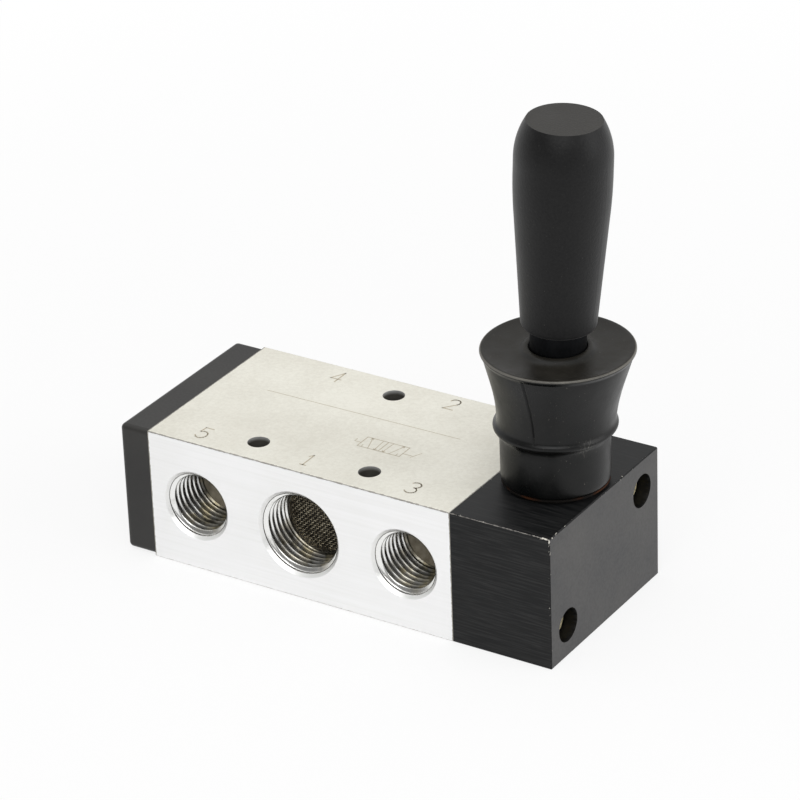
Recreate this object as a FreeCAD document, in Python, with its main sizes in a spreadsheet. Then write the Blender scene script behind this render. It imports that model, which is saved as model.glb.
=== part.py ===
import FreeCAD, Part

import math
import os
import re

import Sketcher
from FreeCAD import Rotation, Vector

# Hand lever air valve, millimetres. X runs along the spool towards the lever, the three front
# ports face -Y, Z is up. The origin is on the bottom face of the valve body, under its middle.

SIZES = {
    # valve body
    "body_width": 40.0,
    "body_height": 27.0,
    "body_edge": 0.3,
    "end_margin": 10.25,
    "bore_radius": 6.0,
    "chamber_radius": 7.4,
    "chamber_width": 5.0,
    # ports: pipe threads at their major radius
    "large_port_radius": 8.331,
    "small_port_radius": 6.579,
    "port_mouth": 0.6,
    "port_depth": 10.5,
    "drill_slope": 20.0,
    "passage_radius": 2.4,
    "inlet_depth": 7.6,
    "plenum_radius": 6.2,
    "plenum_depth": 2.4,
    # strainer in the supply port
    "screen_radius": 7.4,
    "screen_thickness": 0.3,
    "screen_ring_width": 0.5,
    "screen_ring_height": 0.7,
    # mounting holes: the rear one stands between the work ports, the front ones beside the supply
    "mount_hole_radius": 2.15,
    "mount_wall": 1.019,
    "mount_shift": 0.126,
    "mount_front_inset": 6.3,
    "mount_rear_inset": 5.7,
    # end cover
    "cover_thickness": 6.6,
    "cover_margin": 0.2,
    "cover_round": 1.0,
    "cover_recess_gap": 0.4,
    "cover_recess_depth": 1.8,
    # face seals at both ends of the body
    "face_seal_radius": 9.35,
    "face_seal_width": 1.5,
    "face_seal_depth": 1.1,
    "small_chamfer": 0.3,
    # screws
    "screw_inset_wide": 6.15,
    "screw_inset_high": 6.35,
    "screw_radius": 1.5,
    "screw_clearance": 0.2,
    "screw_head_radius": 2.75,
    "screw_head_height": 3.0,
    "head_clearance": 0.55,
    "hex_width": 2.5,
    "hex_depth": 1.6,
    "tapped_spare": 1.3,
    "housing_screw_length": 20.0,
    "housing_screw_sink": 2.45,
    "cover_screw_length": 8.0,
    "cover_screw_sink": 0.4,
    # lever housing, and the boss pressed into it
    "housing_length": 20.8,
    "housing_edge": 0.2,
    "cavity_gap": 0.8,
    "cavity_wall": 2.2,
    "lever_shift": 0.2,
    "well_radius": 6.0,
    "boss_radius": 8.4,
    "boss_height": 12.2,
    "boss_foot_width": 0.8,
    "boss_foot_height": 0.75,
    "boss_seat_radius": 7.4,
    "boss_seat_depth": 4.0,
    # detent
    "bush_wall": 1.4,
    "bush_length": 3.55,
    "bush_mouth_gap": 0.1,
    "bush_mouth_depth": 1.25,
    "stem_clearance": 0.08,
    "ring_wire_radius": 0.5,
    "ring_contact": 0.05,
    "ring_gap_angle": 16.0,
    "ring_side_play": 0.1,
    "ring_groove_depth": 1.4,
    "detent_depth": 0.45,
    # lever, heights from the pivot
    "pivot_rise": 8.0,
    "lever_tilt": 2.7,
    "lever_swing": 7.0,
    "pin_radius": 1.5,
    "pin_inset": 0.2,
    "pivot_clearance": 0.03,
    "pivot_bush_wall": 0.57,
    "eye_wall": 1.7,
    "eye_gap": 2.0,
    "ball_radius": 2.5,
    "ball_clearance": 0.05,
    "neck_radius": 1.7,
    "neck_height": 12.0,
    "rod_radius": 3.0,
    "stud_radius": 2.5,
    "stud_length": 17.4,
    "stud_clearance": 0.1,
    "sleeve_radius": 5.15,
    "sleeve_tuck": 1.8,
    "sleeve_edge": 0.4,
    # knob, heights from its lower end
    "knob_gap": 4.4,
    "knob_length": 40.3,
    "knob_foot_inset": 0.85,
    "knob_foot_round": 1.0,
    "knob_low_radius": 6.95,
    "knob_flare_radius": 8.49,
    "knob_flare_curve": 100.0,
    "knob_flare_length": 10.0,
    "knob_widest_radius": 8.87,
    "knob_widest_length": 1.8,
    "knob_shoulder_length": 7.2,
    "knob_shoulder_curve": 14.0,
    "knob_top_radius": 6.88,
    "insert_radius": 4.0,
    "insert_length": 14.0,
    "insert_edge": 0.4,
    # boot: radii and heights are steps from the boss
    "washer_width": 1.6,
    "washer_height": 0.35,
    "boot_play": 0.1,
    "boot_wall": 1.6,
    "boot_bead_drop": 1.4,
    "boot_bead_height": 2.1,
    "boot_bead_width": 1.4,
    "boot_waist_rise": 2.1,
    "boot_waist_width": 0.9,
    "boot_cup_height": 12.7,
    "boot_cup_width": 3.2,
    "boot_cup_curve": 0.6,
    "boot_rim_height": 0.5,
    "boot_rim_round": 0.45,
    "boot_dish_depth": 0.7,
    "boot_dish_inset": 1.2,
    "boot_lip_width": 1.45,
    "boot_lip_rise": 0.35,
    "boot_neck_gap": 0.1,
    # spool
    "spool_clearance": 0.07,
    "seal_clearance": 0.02,
    "seal_width": 1.6,
    "seal_floor_radius": 4.6,
    "seal_wall": 1.2,
    "end_seal_inset": 3.85,
    "inlet_seal_offset": 1.5,
    "spool_neck_radius": 3.5,
    "head_radius": 5.5,
    "head_length": 8.5,
    "head_edge": 0.4,
}

# Places and sizes worked out from those
AXIS = "(body_height / 2)"
FRONT = "-body_width / 2"
BACK = "body_width / 2"
PORT_PITCH = "(large_port_radius + mount_hole_radius + mount_wall)"
BODY_END = f"(2 * {PORT_PITCH} + end_margin)"
BODY_START = f"-{BODY_END}"
MOUNT_X = f"((large_port_radius + 2 * {PORT_PITCH} - small_port_radius) / 2 - mount_shift)"
SCREEN_FRONT = "inlet_depth - body_width / 2"
SCREEN_BACK = f"{SCREEN_FRONT} + screen_ring_height + screen_thickness"
COVER_FACE = f"{BODY_START} - cover_thickness"
HOUSING_FACE = f"{BODY_END} + housing_length"
LEVER_X = f"{BODY_END} + housing_length / 2 + lever_shift"
CAVITY_RADIUS = "(head_radius + cavity_gap)"
BUSH_MOUTH_RADIUS = "(bore_radius + bush_mouth_gap)"
BUSH_RADIUS = f"({BUSH_MOUTH_RADIUS} + bush_wall)"
BUSH_END = f"{BODY_END} + bush_length"
GROOVE_WIDTH = "(2 * ring_wire_radius + ring_side_play)"
GROOVE_X = f"{BODY_END} + (bush_mouth_depth + bush_length) / 2"
RING_X = f"{GROOVE_X} + {GROOVE_WIDTH} / 2 - ring_wire_radius"
BOSS_TOP = "(body_height + boss_height)"
BOSS_FOOT_TOP = "(body_height + boss_foot_height)"
PIVOT = "(body_height + pivot_rise)"
ARM = f"({PIVOT} - {AXIS})"
STEM_TRAVEL = f"{ARM} * sin(lever_swing * 1 deg)"
SPOOL_AT_REST = f"-{ARM} * sin(lever_tilt * 1 deg)"
PIVOT_BUSH_RADIUS = "(pin_radius + pivot_clearance + pivot_bush_wall)"
EYE_WIDTH = "(2 * (well_radius - eye_gap))"
BOOT_FOOT = f"{BOSS_FOOT_TOP} + washer_height"
BOOT_INNER = "(boss_radius + boot_play)"
BOOT_SKIRT = f"({BOOT_INNER} + boot_wall)"
BOOT_WAIST = f"({BOOT_SKIRT} + boot_waist_width)"
WAIST_Z = f"({BOSS_TOP} + boot_waist_rise)"
RIM_Z = f"({WAIST_Z} + boot_cup_height)"
RIM_RADIUS = f"({BOOT_WAIST} + boot_cup_width)"
BOOT_TOP = f"({RIM_Z} + boot_rim_height)"
SLEEVE_Z = f"({RIM_Z} - {PIVOT} - sleeve_tuck)"
KNOB_Z = f"({BOOT_TOP} - {PIVOT} + knob_gap)"
KNOB_TOP = f"{KNOB_Z} + knob_length"
STUD_Z = f"({KNOB_Z} + stud_length)"

doc = FreeCAD.newDocument("lever_valve")
sheet = doc.addObject("Spreadsheet::Sheet", "sizes")
for row, (alias, number) in enumerate(SIZES.items(), start=1):
    sheet.set(f"A{row}", alias)
    sheet.set(f"B{row}", str(number))
    sheet.setAlias(f"B{row}", alias)
doc.recompute()

PIECES = []
LEVEL = ("0", "0", AXIS)


def bound(expression):
    """The expression with each size's name turned into a reference to its cell."""
    return re.sub(r"[a-z]+(_[a-z]+)+", r"sizes.\g<0>", expression)


def value(expression):
    """The number that an expression of sizes gives now."""
    found = sheet.evalExpression(bound(expression))
    return float(getattr(found, "Value", found))


def new_body(label):
    """An empty body that becomes the piece of that name."""
    body = doc.addObject("PartDesign::Body", label)
    body.Label = label
    PIECES.append(body)
    return body


def new_sketch(body, role, shift=("0", "0", "0")):
    """An empty sketch on an origin plane of the body, moved along its own x, y and z by shift."""
    sketch = body.newObject("Sketcher::SketchObject", body.Name + "_sketch")
    base = next(part for part in body.Origin.OriginFeatures if part.Role == role)
    sketch.AttachmentSupport = (base, [""])
    sketch.MapMode = "FlatFace"
    for axis, amount in zip("xyz", shift):
        sketch.setExpression(f"AttachmentOffset.Base.{axis}", bound(amount))
    return sketch


def drive(sketch, kind, expression, *where):
    """A dimension of the sketch, bound to an expression of sizes."""
    index = sketch.addConstraint(Sketcher.Constraint(kind, *where, value(expression)))
    sketch.setExpression(f"Constraints[{index}]", bound(expression))


def arc_between(start, end, radius, side):
    """An arc from start to end that bows to the left of the way there, or right if side is -1."""
    half = (end - start) * 0.5
    left = Vector(-half.y, half.x, 0).normalize() * side
    rise = radius - math.sqrt(max(radius**2 - half.Length**2, 0))
    return Part.Arc(start, start + half + left * rise, end)


def outline(body, role, corners, shift=("0", "0", "0")):
    """A closed sketch through corners, each x and y. A corner with a radius and a side too has
    an arc from there to the next corner, bowed to that side of the way."""
    sketch = new_sketch(body, role, shift)
    points = [Vector(value(corner[0]), value(corner[1]), 0) for corner in corners]
    edges = []
    for index, corner in enumerate(corners):
        start, end = points[index], points[(index + 1) % len(points)]
        if len(corner) == 2:
            edges.append(sketch.addGeometry(Part.LineSegment(start, end)))
        else:
            edges.append(sketch.addGeometry(arc_between(start, end, value(corner[2]), corner[3])))

    def end_at(edge, point):
        first, second = (sketch.getPoint(edge, end).distanceToPoint(point) for end in (1, 2))
        return 1 if first < second else 2

    starts = [end_at(edge, point) for edge, point in zip(edges, points)]
    for index, point in enumerate(points):
        before = edges[index - 1]
        joint = Sketcher.Constraint(
            "Coincident", before, end_at(before, point), edges[index], starts[index]
        )
        sketch.addConstraint(joint)
    for edge, start, corner in zip(edges, starts, corners):
        drive(sketch, "DistanceX", corner[0], -1, 1, edge, start)
        drive(sketch, "DistanceY", corner[1], -1, 1, edge, start)
        if len(corner) > 2:
            drive(sketch, "Radius", corner[2], edge)
    return sketch


def circles(body, role, rounds, shift=("0", "0", "0")):
    """A sketch of circles, each x, y and radius."""
    sketch = new_sketch(body, role, shift)
    for x, y, radius in rounds:
        round_edge = sketch.addGeometry(Part.Circle(Vector(value(x), value(y)), Vector(0, 0, 1), 1))
        drive(sketch, "DistanceX", x, -1, 1, round_edge, 3)
        drive(sketch, "DistanceY", y, -1, 1, round_edge, 3)
        drive(sketch, "Radius", radius, round_edge)
    return sketch


def feature(body, kind, sketch):
    """A feature on a sketch, and the volume that the body had before it."""
    before = body.Shape.Volume if body.Tip else 0
    made = body.newObject(f"PartDesign::{kind}", f"{body.Name}_{kind.lower()}")
    made.Profile = sketch
    return made, before


def finish_feature(body, made, before, grows):
    """Recomputes the body, and stops if the feature left its volume as it was."""
    doc.recompute()
    change = body.Shape.Volume - before
    if change * (1 if grows else -1) < 1e-6:
        raise RuntimeError(f"{made.Name} changed {body.Label} by {change}")
    return made


def turn(body, sketch, axis="V_Axis", angle=360, cut=False):
    """Revolves a sketch about its own vertical or horizontal axis, to add or to cut."""
    made, before = feature(body, "Groove" if cut else "Revolution", sketch)
    made.ReferenceAxis = (sketch, [axis])
    made.Angle = angle
    return finish_feature(body, made, before, not cut)


def extrude(body, sketch, length, cut=False, back=False, both=False):
    """Pads or pockets a sketch along its normal, or against it with back."""
    made, before = feature(body, "Pocket" if cut else "Pad", sketch)
    made.setExpression("Length", bound(length))
    made.Reversed = back != cut
    made.Midplane = both
    return finish_feature(body, made, before, not cut)


def loft(body, sketches, cut=False):
    """Lofts straight from each closed sketch to the next, to add or to cut."""
    made, before = feature(body, "SubtractiveLoft" if cut else "AdditiveLoft", sketches[0])
    made.Sections = sketches[1:]
    made.Ruled = True
    return finish_feature(body, made, before, not cut)


def dress(body, kind, size_name, test):
    """Rounds or chamfers the edges of the body for which test holds."""
    base = body.Tip
    names = [f"Edge{n}" for n, edge in enumerate(base.Shape.Edges, start=1) if test(edge)]
    made = body.newObject(f"PartDesign::{kind}", f"{body.Name}_{kind.lower()}")
    made.Base = (base, names)
    made.setExpression("Radius" if kind == "Fillet" else "Size", bound(size_name))
    doc.recompute()
    return made


def all_at_x(edge, place):
    """Whether the whole edge lies at one place along X."""
    box = edge.BoundBox
    return abs(box.XMin - place) < 0.01 and abs(box.XMax - place) < 0.01


def rectangle(left, right, low, high):
    return [(left, low), (right, low), (right, high), (left, high)]


def ring(inner, outer, start, end, edge):
    """Half section of a ring along an axis, with its outer corners cut by edge."""
    return [
        (start, inner),
        (end, inner),
        (end, f"{outer} - {edge}"),
        (f"{end} - {edge}", outer),
        (f"{start} + {edge}", outer),
        (start, f"{outer} - {edge}"),
    ]


def swapped(corners):
    """The corners with x and y exchanged."""
    return [(y, x) for x, y in corners]


def screw_places():
    """The two screws of either end, on a diagonal, as y and z."""
    for side in ("-", "+"):
        y = f"0 {side} (body_width / 2 - screw_inset_wide)"
        z = f"{AXIS} {side} (body_height / 2 - screw_inset_high)"
        yield y, z


# The valve body

def port_outline(face, inward, radius):
    """Half section of a threaded port with its drilled end and the passage to the bore."""
    cone = f"({radius} - passage_radius) * tan(drill_slope * 1 deg)"
    return [
        ("0", face),
        (f"{radius} + port_mouth", face),
        (radius, f"{face} {inward} port_mouth"),
        (radius, f"{face} {inward} port_depth"),
        ("passage_radius", f"{face} {inward} (port_depth + {cone})"),
        ("passage_radius", f"0 {mirror(inward)} (bore_radius - passage_radius / 4)"),
        ("0", f"0 {mirror(inward)} (bore_radius - passage_radius / 4)"),
    ]


def inlet_outline():
    """Half section of the supply port, with the strainer's seat and the space behind it."""
    end = f"{SCREEN_BACK} + plenum_depth"
    return [
        ("0", FRONT),
        ("large_port_radius + port_mouth", FRONT),
        ("large_port_radius", f"{FRONT} + port_mouth"),
        ("large_port_radius", SCREEN_FRONT),
        ("screen_radius", SCREEN_FRONT),
        ("screen_radius", SCREEN_BACK),
        ("plenum_radius", SCREEN_BACK),
        ("plenum_radius", end),
        ("passage_radius", end),
        ("passage_radius", "-(bore_radius - passage_radius / 4)"),
        ("0", "-(bore_radius - passage_radius / 4)"),
    ]


def mirror(sign):
    return {"+": "-", "-": "+"}[sign]


def bore_outline():
    """Half section of the spool bore with its five chambers."""
    corners = [(BODY_START, "0"), (BODY_START, "bore_radius")]
    for place in range(-2, 3):
        centre = f"{place} * {PORT_PITCH}"
        left, right = f"{centre} - chamber_width / 2", f"{centre} + chamber_width / 2"
        corners += [
            (left, "bore_radius"),
            (left, "chamber_radius"),
            (right, "chamber_radius"),
            (right, "bore_radius"),
        ]
    return corners + [(BODY_END, "bore_radius"), (BODY_END, "0")]


def make_valve_body():
    body = new_body("valve_body")
    section = rectangle(FRONT, BACK, "0", "body_height")
    sketch = outline(body, "YZ_Plane", section, ("0", "0", BODY_START))
    extrude(body, sketch, f"2 * {BODY_END}")
    length = 2 * value(BODY_END)
    dress(body, "Fillet", "body_edge", lambda edge: abs(edge.BoundBox.XLength - length) < 0.01)
    turn(body, outline(body, "XY_Plane", bore_outline(), LEVEL), "H_Axis", cut=True)
    turn(body, outline(body, "XY_Plane", inlet_outline(), LEVEL), cut=True)
    small, large = "small_port_radius", "large_port_radius"
    ports = [("-2", FRONT, "+", small), ("2", FRONT, "+", small)]
    ports += [("-1", BACK, "-", large), ("1", BACK, "-", large)]
    for place, face, inward, radius in ports:
        shift = (f"{place} * {PORT_PITCH}", "0", AXIS)
        turn(body, outline(body, "XY_Plane", port_outline(face, inward, radius), shift), cut=True)
    holes = [
        (f"-{MOUNT_X}", f"{FRONT} + mount_front_inset", "mount_hole_radius"),
        (MOUNT_X, f"{FRONT} + mount_front_inset", "mount_hole_radius"),
        ("0", f"{BACK} - mount_rear_inset", "mount_hole_radius"),
    ]
    extrude(body, circles(body, "XY_Plane", holes), "body_height", cut=True)
    tapped = [(y, z, "screw_radius") for y, z in screw_places()]
    for face, reach, back in (
        (BODY_START, screw_reach("cover_screw_length", "cover_thickness", "cover_screw_sink"), False),
        (BODY_END, screw_reach("housing_screw_length", "housing_length", "housing_screw_sink"), True),
    ):
        sketch = circles(body, "YZ_Plane", tapped, ("0", "0", face))
        extrude(body, sketch, f"{reach} + tapped_spare", cut=True, back=back)


def make_inlet_screen():
    """The mesh disc and its ring, in their seat at the end of the supply port's thread."""
    middle = f"{SCREEN_FRONT} + screen_ring_height"
    screen = new_body("inlet_screen")
    disc = rectangle("0", "screen_radius", middle, SCREEN_BACK)
    turn(screen, outline(screen, "XY_Plane", disc, LEVEL))
    holder = new_body("inlet_screen_ring")
    inner = "screen_radius - screen_ring_width"
    band = rectangle(inner, "screen_radius", SCREEN_FRONT, middle)
    turn(holder, outline(holder, "XY_Plane", band, LEVEL))


# The end cover and the seals at both ends

def face_groove(face, inward):
    """Half section of a seal groove in the face of an end piece."""
    low = "face_seal_radius - face_seal_width / 2"
    high = "face_seal_radius + face_seal_width / 2"
    return rectangle(face, f"{face} {inward} face_seal_depth", low, high)


def make_face_seal(label, face, inward):
    body = new_body(label)
    low = "face_seal_radius - face_seal_width / 2"
    high = "face_seal_radius + face_seal_width / 2"
    ends = [face, f"{face} {inward} face_seal_depth"]
    section = ring(low, high, *(ends if inward == "+" else ends[::-1]), "small_chamfer")
    turn(body, outline(body, "XY_Plane", section, LEVEL), "H_Axis")


def screw_reach(length, thickness, sink):
    """How far a screw of an end piece reaches into the valve body."""
    return f"{length} + {sink} + screw_head_height - {thickness}"


def sunk_screw_holes(body, face, through, sink, back):
    """Holes for the two screws of an end, wide enough for the heads down to sink."""
    for radius, depth in (
        ("screw_radius + screw_clearance", through),
        ("screw_head_radius + head_clearance", f"{sink} + screw_head_height"),
    ):
        holes = [(y, z, radius) for y, z in screw_places()]
        sketch = circles(body, "YZ_Plane", holes, ("0", "0", face))
        extrude(body, sketch, depth, cut=True, back=back)


def make_end_cover():
    body = new_body("end_cover")
    section = rectangle(
        f"{FRONT} + cover_margin",
        f"{BACK} - cover_margin",
        "cover_margin",
        "body_height - cover_margin",
    )
    sketch = outline(body, "YZ_Plane", section, ("0", "0", BODY_START))
    extrude(body, sketch, "cover_thickness", back=True)
    inner = value(BODY_START)
    dress(body, "Fillet", "cover_round", lambda edge: not all_at_x(edge, inner))
    far, radius = f"{BODY_START} - cover_recess_depth", "bore_radius + cover_recess_gap"
    recess = outline(body, "XY_Plane", rectangle(BODY_START, far, "0", radius), LEVEL)
    turn(body, recess, "H_Axis", cut=True)
    groove = outline(body, "XY_Plane", face_groove(BODY_START, "-"), LEVEL)
    turn(body, groove, "H_Axis", cut=True)
    sunk_screw_holes(body, COVER_FACE, "cover_thickness", "cover_screw_sink", back=False)


# Screws

def socket_screw(label, length, face, sink, flip):
    """One socket head screw, its head's underside below the face, and the piece it makes."""
    body = doc.addObject("PartDesign::Body", label)
    half = [
        ("screw_head_height", "0"),
        ("screw_head_height", "screw_head_radius - small_chamfer"),
        ("screw_head_height - small_chamfer", "screw_head_radius"),
        ("0", "screw_head_radius"),
        ("0", "screw_radius"),
        (f"small_chamfer - {length}", "screw_radius"),
        (f"-{length}", "screw_radius - small_chamfer"),
        (f"-{length}", "0"),
    ]
    turn(body, outline(body, "XY_Plane", half), "H_Axis")
    corners = []
    for step in range(6):
        reach = "hex_width / sqrt(3)"
        corners.append((f"{reach} * cos({60 * step} deg)", f"{reach} * sin({60 * step} deg)"))
    socket = outline(body, "YZ_Plane", corners, ("0", "0", "screw_head_height"))
    extrude(body, socket, "hex_depth", cut=True, back=True)
    if flip:
        body.Placement.Rotation = Rotation(Vector(0, 0, 1), 180)
    towards = "+" if flip else "-"
    under = f"{face} {towards} ({sink} + screw_head_height)"
    body.setExpression("Placement.Base.x", bound(under))
    return body


def make_screws(label, length, face, sink, flip):
    """Both screws of one end as one piece of two solids."""
    pair = []
    for number, (y, z) in enumerate(screw_places(), start=1):
        screw = socket_screw(f"{label}_{number}", length, face, sink, flip)
        screw.setExpression("Placement.Base.y", bound(y))
        screw.setExpression("Placement.Base.z", bound(z))
        pair.append(screw)
    group = doc.addObject("Part::Compound", label)
    group.Links = pair
    PIECES.append(group)


# The lever housing

def make_lever_housing():
    body = new_body("lever_housing")
    section = rectangle(FRONT, BACK, "0", "body_height")
    sketch = outline(body, "YZ_Plane", section, ("0", "0", BODY_END))
    extrude(body, sketch, "housing_length")
    inner = value(BODY_END)
    dress(body, "Chamfer", "housing_edge", lambda edge: not all_at_x(edge, inner))
    far = f"{HOUSING_FACE} - cavity_wall"
    cavity = [
        (BODY_END, "0"),
        (BODY_END, BUSH_RADIUS),
        (BUSH_END, BUSH_RADIUS),
        (BUSH_END, CAVITY_RADIUS),
        (far, CAVITY_RADIUS),
        (far, "0"),
    ]
    turn(body, outline(body, "XY_Plane", cavity, LEVEL), "H_Axis", cut=True)
    groove = outline(body, "XY_Plane", face_groove(BODY_END, "+"), LEVEL)
    turn(body, groove, "H_Axis", cut=True)
    seat = "body_height - boss_seat_depth"
    well = [
        ("0", AXIS),
        ("well_radius", AXIS),
        ("well_radius", seat),
        ("boss_seat_radius", seat),
        ("boss_seat_radius", "body_height"),
        ("0", "body_height"),
    ]
    turn(body, outline(body, "XZ_Plane", well, (LEVER_X, "0", "0")), cut=True)
    sunk_screw_holes(body, HOUSING_FACE, "housing_length", "housing_screw_sink", back=True)


def make_pivot_boss():
    """The turned boss that carries the lever's pin, with its foot on top of the housing."""
    body = new_body("pivot_boss")
    wall = [
        ("well_radius", "body_height - boss_seat_depth"),
        ("boss_seat_radius", "body_height - boss_seat_depth"),
        ("boss_seat_radius", "body_height"),
        ("boss_radius + boss_foot_width", "body_height"),
        ("boss_radius + boss_foot_width", BOSS_FOOT_TOP),
        ("boss_radius", BOSS_FOOT_TOP),
        ("boss_radius", f"{BOSS_TOP} - housing_edge"),
        ("boss_radius - housing_edge", BOSS_TOP),
        ("well_radius", BOSS_TOP),
    ]
    turn(body, outline(body, "XZ_Plane", wall))
    cross = circles(body, "XZ_Plane", [("0", PIVOT, "pin_radius")])
    extrude(body, cross, "2 * boss_radius + 2 * pin_radius", cut=True, both=True)
    body.setExpression("Placement.Base.x", bound(LEVER_X))


def make_pivot():
    """The cross pin in the boss, and the bush that turns on it in the lever's eye."""
    shift = (LEVER_X, "0", PIVOT)
    pin = new_body("pivot_pin")
    end = "(boss_radius - pin_inset)"
    chamfer = "small_chamfer"
    half = [
        ("0", f"-{end}"),
        (f"pin_radius - {chamfer}", f"-{end}"),
        ("pin_radius", f"{chamfer} - {end}"),
        ("pin_radius", f"{end} - {chamfer}"),
        (f"pin_radius - {chamfer}", end),
        ("0", end),
    ]
    turn(pin, outline(pin, "XY_Plane", half, shift))
    bush = new_body("pivot_bush")
    inner = "pin_radius + pivot_clearance"
    wall = rectangle(inner, PIVOT_BUSH_RADIUS, f"-{EYE_WIDTH} / 2", f"{EYE_WIDTH} / 2")
    turn(bush, outline(bush, "XY_Plane", wall))
    lean(bush)


# The lever. Its pieces are drawn upright about the pivot, and then leaned.

def lean(body):
    """Puts a piece that was drawn upright about the pivot at its place on the lever."""
    body.Placement.Rotation = Rotation(Vector(0, 1, 0), 1)
    body.setExpression("Placement.Rotation.Angle", bound("lever_tilt * 1 deg"))
    body.setExpression("Placement.Base.x", bound(LEVER_X))
    body.setExpression("Placement.Base.z", bound(PIVOT))


def make_lever_shaft():
    body = new_body("lever_shaft")
    ball_top = f"sqrt(ball_radius^2 - neck_radius^2) - {ARM}"
    half = [
        ("0", f"-{ARM} - ball_radius", "ball_radius", -1),
        ("neck_radius", ball_top),
        ("neck_radius", f"neck_height - {ARM}"),
        ("rod_radius", f"neck_height + rod_radius - neck_radius - {ARM}"),
        ("rod_radius", KNOB_Z),
        ("stud_radius", KNOB_Z),
        ("stud_radius", f"{STUD_Z} - small_chamfer"),
        ("stud_radius - small_chamfer", STUD_Z),
        ("0", STUD_Z),
    ]
    turn(body, outline(body, "XZ_Plane", half))
    eye = circles(body, "XZ_Plane", [("0", "0", f"{PIVOT_BUSH_RADIUS} + eye_wall")])
    extrude(body, eye, EYE_WIDTH, both=True)
    hole = circles(body, "XZ_Plane", [("0", "0", PIVOT_BUSH_RADIUS)])
    extrude(body, hole, f"{EYE_WIDTH} + 2 * small_chamfer", cut=True, both=True)
    lean(body)


def make_lever_sleeve():
    body = new_body("lever_sleeve")
    half = ring("rod_radius", "sleeve_radius", SLEEVE_Z, KNOB_Z, "sleeve_edge")
    turn(body, outline(body, "XZ_Plane", swapped(half)))
    lean(body)


def make_knob():
    body = new_body("knob")
    shoulder = f"{KNOB_TOP} - knob_shoulder_length"
    widest = f"{shoulder} - knob_widest_length"
    bore_end = f"{KNOB_Z} + insert_edge + insert_length"
    half = [
        ("insert_radius", KNOB_Z),
        ("knob_low_radius - knob_foot_inset", KNOB_Z, "knob_foot_round", -1),
        ("knob_low_radius", f"{KNOB_Z} + knob_foot_round"),
        ("knob_flare_radius", f"{widest} - knob_flare_length", "knob_flare_curve", -1),
        ("knob_widest_radius", widest),
        ("knob_widest_radius", shoulder, "knob_shoulder_curve", -1),
        ("knob_top_radius", KNOB_TOP),
        ("0", KNOB_TOP),
        ("0", f"{STUD_Z} + stud_clearance"),
        ("stud_radius + stud_clearance", f"{STUD_Z} + stud_clearance"),
        ("stud_radius + stud_clearance", bore_end),
        ("insert_radius", bore_end),
    ]
    turn(body, outline(body, "XZ_Plane", half))
    lean(body)


def make_knob_insert():
    body = new_body("knob_insert")
    start = f"{KNOB_Z} + insert_edge"
    ends = start, f"{start} + insert_length"
    half = ring("stud_radius", "insert_radius", *ends, "small_chamfer")
    turn(body, outline(body, "XZ_Plane", swapped(half)))
    lean(body)


# The boot and its washer

def make_boot_washer():
    body = new_body("boot_washer")
    half = rectangle("boss_radius", "boss_radius + washer_width", BOSS_FOOT_TOP, BOOT_FOOT)
    turn(body, outline(body, "XZ_Plane", half, (LEVER_X, "0", "0")))


def boot_drift(share):
    """How far the boot's middle has followed the lever, at a share of the cup's height."""
    return f"({RIM_Z} - {PIVOT}) * tan(lever_tilt * 1 deg) * ({share})"


def cup_section(body, share, inset):
    """A level ring of the boot's cup, at a share of its height. The cup curves outwards."""
    height = f"{WAIST_Z} + ({share}) * boot_cup_height"
    spread = f"((1 - boot_cup_curve) * ({share}) + boot_cup_curve * ({share})^2)"
    radius = f"{BOOT_WAIST} + {spread} * boot_cup_width - {inset}"
    shift = (boot_drift(share), "0", height)
    return circles(body, "XY_Plane", [("0", "0", radius)], shift)


def boot_skirt():
    """Half section of the boot's straight skirt with its bead, up to the waist."""
    bead_end = f"{WAIST_Z} - boot_bead_drop"
    bead_start = f"{bead_end} - boot_bead_height"
    opening = f"{BOSS_TOP} + boot_wall / 2"
    return [
        (BOOT_INNER, BOOT_FOOT),
        (BOOT_SKIRT, BOOT_FOOT),
        (BOOT_SKIRT, bead_start, "boot_bead_width", -1),
        (f"{BOOT_SKIRT} + boot_bead_width", f"{bead_end} - boot_bead_height / 2"),
        (BOOT_WAIST, bead_end),
        (BOOT_WAIST, WAIST_Z),
        (f"{BOOT_WAIST} - boot_wall", WAIST_Z),
        (f"{BOOT_WAIST} - boot_wall", f"{opening} + boot_wall / 2"),
        (BOOT_INNER, opening),
    ]


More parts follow.
